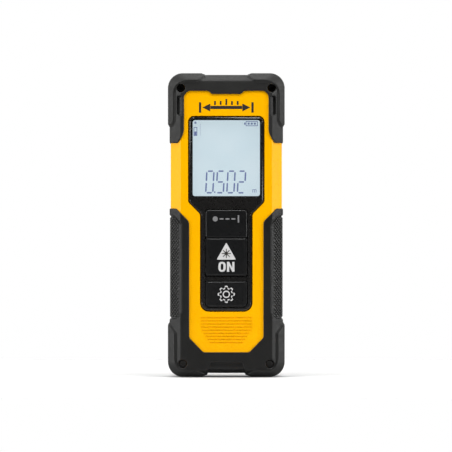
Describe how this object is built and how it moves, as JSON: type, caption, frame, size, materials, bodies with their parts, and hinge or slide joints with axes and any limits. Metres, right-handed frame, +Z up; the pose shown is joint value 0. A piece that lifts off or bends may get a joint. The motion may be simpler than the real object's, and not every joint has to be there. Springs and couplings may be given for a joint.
{
  "type": "laser distance meter",
  "caption": "Handheld laser distance meter: yellow shell with wrap-round rubber guards, display, two keys, laser and receiver optics at the top, and a battery door at the back.",
  "frame": {"origin": "middle of the bottom end, on the plane that distances are measured from", "axes": "+Z up the body to the laser end, -Y out of the display and keys, +X to the right of the display"},
  "size_m": [0.0454, 0.026, 0.118],
  "materials": {
    "yellow_plastic": "satin",
    "black_plastic": "satin",
    "guard_rubber": "matte",
    "key_plastic": "satin",
    "clear_window": "gloss",
    "lcd_glass": "satin",
    "white_plastic": "matte",
    "flex_film": "satin",
    "board": "satin",
    "chip": "matte",
    "steel": "satin",
    "black_steel": "satin",
    "brass": "satin",
    "lens_glass": "gloss",
    "cell_wrap": "gloss",
    "foam": "matte",
    "silicone": "matte",
    "label_film": "satin"
  },
  "bodies": {
    "housing": {"front_housing": "yellow_plastic", "rear_housing": "yellow_plastic", "front_top_guard": "guard_rubber", "rear_top_guard": "guard_rubber", "front_grip_guard": "guard_rubber", "rear_grip_guard": "guard_rubber", "display_bezel": "black_plastic", "marker_pad": "key_plastic", "display_window": "clear_window", "display_gasket": "foam", "lcd_panel": "lcd_glass", "lcd_backlight": "white_plastic", "lcd_holder": "white_plastic", "lcd_flex": "flex_film", "keypad_mat": "silicone", "switch_domes": "steel", "main_board": "board", "processor_chip": "chip", "shield_can": "steel", "board_components": "chip", "flex_connector": "black_plastic", "buzzer": "black_plastic", "optical_bench": "black_plastic", "laser_barrel": "brass", "laser_diode": "steel", "collimator_lens": "lens_glass", "receiver_lens": "lens_glass", "receiver_baffle": "foam", "receiver_sensor": "steel", "sensor_board": "board", "optics_frame": "black_plastic", "optics_window": "clear_window", "battery_left": "cell_wrap", "battery_right": "cell_wrap", "battery_springs": "steel", "contact_plates": "steel", "case_screws": "black_steel", "board_screws": "steel", "bench_screws": "steel", "housing_seal": "silicone", "rear_label": "label_film"},
    "measure_key": {"measure_button": "key_plastic"},
    "settings_key": {"settings_button": "key_plastic"},
    "door": {"battery_door": "black_plastic", "door_pads": "foam"}
  },
  "joints": [
    {"name": "measure_press", "type": "slide", "parent": "housing", "child": "measure_key", "axis": [0, 1, 0], "range_m": [0, 0.0006], "stiffness_N_per_m": 600},
    {"name": "settings_press", "type": "slide", "parent": "housing", "child": "settings_key", "axis": [0, 1, 0], "range_m": [0, 0.0006], "stiffness_N_per_m": 600},
    {"name": "door_hinge", "type": "hinge", "parent": "housing", "child": "door", "pos_m": [0, 0.0119, 0.0124], "axis": [-1, 0, 0], "range_deg": [0, 45]}
  ]
}
